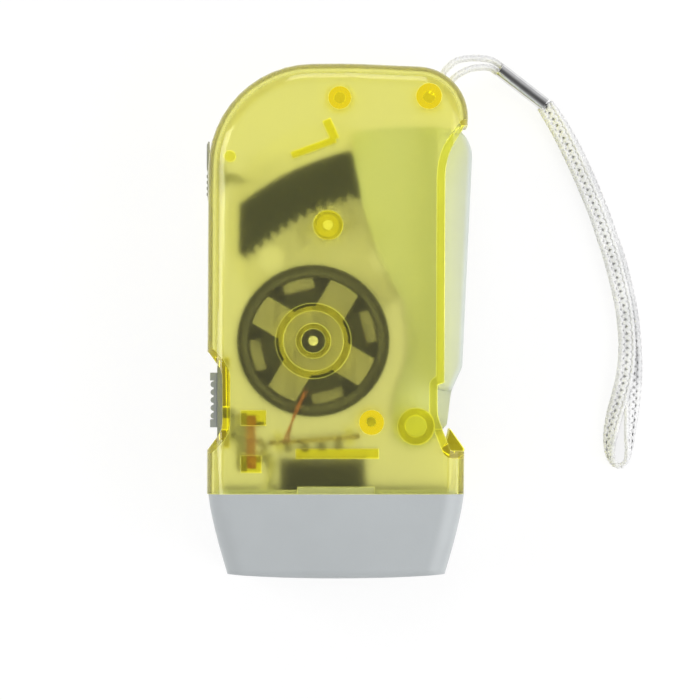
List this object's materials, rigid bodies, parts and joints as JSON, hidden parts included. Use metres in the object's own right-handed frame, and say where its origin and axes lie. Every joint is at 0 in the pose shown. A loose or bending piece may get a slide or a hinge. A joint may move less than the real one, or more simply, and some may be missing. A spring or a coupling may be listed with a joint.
{
  "type": "hand press dynamo flashlight",
  "caption": "Pocket torch with a clear case, grey head and side squeeze lever whose toothed sector drives a gear train and a flywheel dynamo; wrist strap at one corner.",
  "frame": {"origin": "middle of the case's footprint, on the back face that it lies on", "axes": "+X towards the squeeze lever, +Y from the lens to the strap end, +Z out of the front face"},
  "size_m": [0.0913, 0.1089, 0.033],
  "materials": {
    "clear_case": "clear yellow, frosted inside",
    "grey_head": "satin",
    "clear_lens": "clear, polished",
    "bright_reflector": "mirror bright",
    "green_board": "satin",
    "lamp_resin": "clear resin",
    "black_sleeve": "shrink sleeve",
    "plain_steel": "plain",
    "brown_board": "paper board",
    "black_plastic": "satin",
    "white_plastic": "satin",
    "grey_knob": "satin",
    "pale_grey": "satin",
    "magnet": "sintered",
    "copper": "enamelled wire",
    "white_braid": "braided cord"
  },
  "bodies": {
    "case": {"front_shell": "clear_case", "back_shell": "clear_case", "head_bezel": "grey_head", "lens": "clear_lens", "reflector": "bright_reflector", "lamp_board": "green_board", "led_left": "lamp_resin", "led_middle": "lamp_resin", "led_right": "lamp_resin", "battery_sleeve": "black_sleeve", "cell_1": "plain_steel", "cell_2": "plain_steel", "cell_3": "plain_steel", "cell_tabs": "plain_steel", "circuit_board": "brown_board", "diodes": "black_plastic", "switch_frame": "plain_steel", "switch_base": "brown_board", "switch_pins": "plain_steel", "switch_wires": "white_plastic", "switch_guide": "grey_knob", "lever_spring": "plain_steel", "gear_axle": "plain_steel", "flywheel_shaft": "plain_steel", "rear_claw_plate": "plain_steel", "coil_bobbin": "black_plastic", "coil_winding": "copper", "front_claw_plate": "plain_steel", "coil_leads": "copper", "housing_screws": "plain_steel", "strap_strand_1": "white_braid", "strap_strand_2": "white_braid", "strap_ferrule": "plain_steel", "wrist_strap": "white_braid"},
    "lever": {"lever_arm": "pale_grey", "sector_gear": "black_plastic"},
    "pinion": {"ratchet_pinion": "white_plastic"},
    "gear": {"drive_gear": "white_plastic"},
    "flywheel": {"flywheel_rim": "black_plastic", "ring_magnet": "magnet", "flywheel_pinion": "white_plastic"},
    "lock": {"lock_slider": "pale_grey"},
    "switch": {"switch_knob": "grey_knob"}
  },
  "joints": [
    {"name": "lever_swing", "type": "hinge", "parent": "case", "child": "lever", "pos_m": [0.0159, -0.0217, 0.0165], "axis": [0, 0, -1], "range_deg": [0, 18], "deforming": ["lever_spring"]},
    {"name": "pinion_spin", "type": "hinge", "parent": "case", "child": "pinion", "pos_m": [-0.00214, 0.01969, 0.0165], "axis": [0, 0, -1], "continuous": true},
    {"name": "flywheel_spin", "type": "hinge", "parent": "case", "child": "flywheel", "pos_m": [-0.00517, -0.00412, 0.0165], "axis": [0, 0, 1], "continuous": true},
    {"name": "gear_spin", "type": "hinge", "parent": "case", "child": "gear", "pos_m": [-0.00214, 0.01969, 0.0165], "axis": [0, 0, 1], "continuous": true},
    {"name": "lock_slide", "type": "slide", "parent": "case", "child": "lock", "axis": [0, -1, 0], "range_m": [0, 0.0027]},
    {"name": "switch_slide", "type": "slide", "parent": "case", "child": "switch", "axis": [0, -1, 0], "range_m": [0, 0.0022]}
  ],
  "couplings": [
    {"joint": "pinion_spin", "follows": "lever_swing", "ratio": 12.727},
    {"joint": "gear_spin", "follows": "flywheel_spin", "ratio": -0.14286}
  ]
}
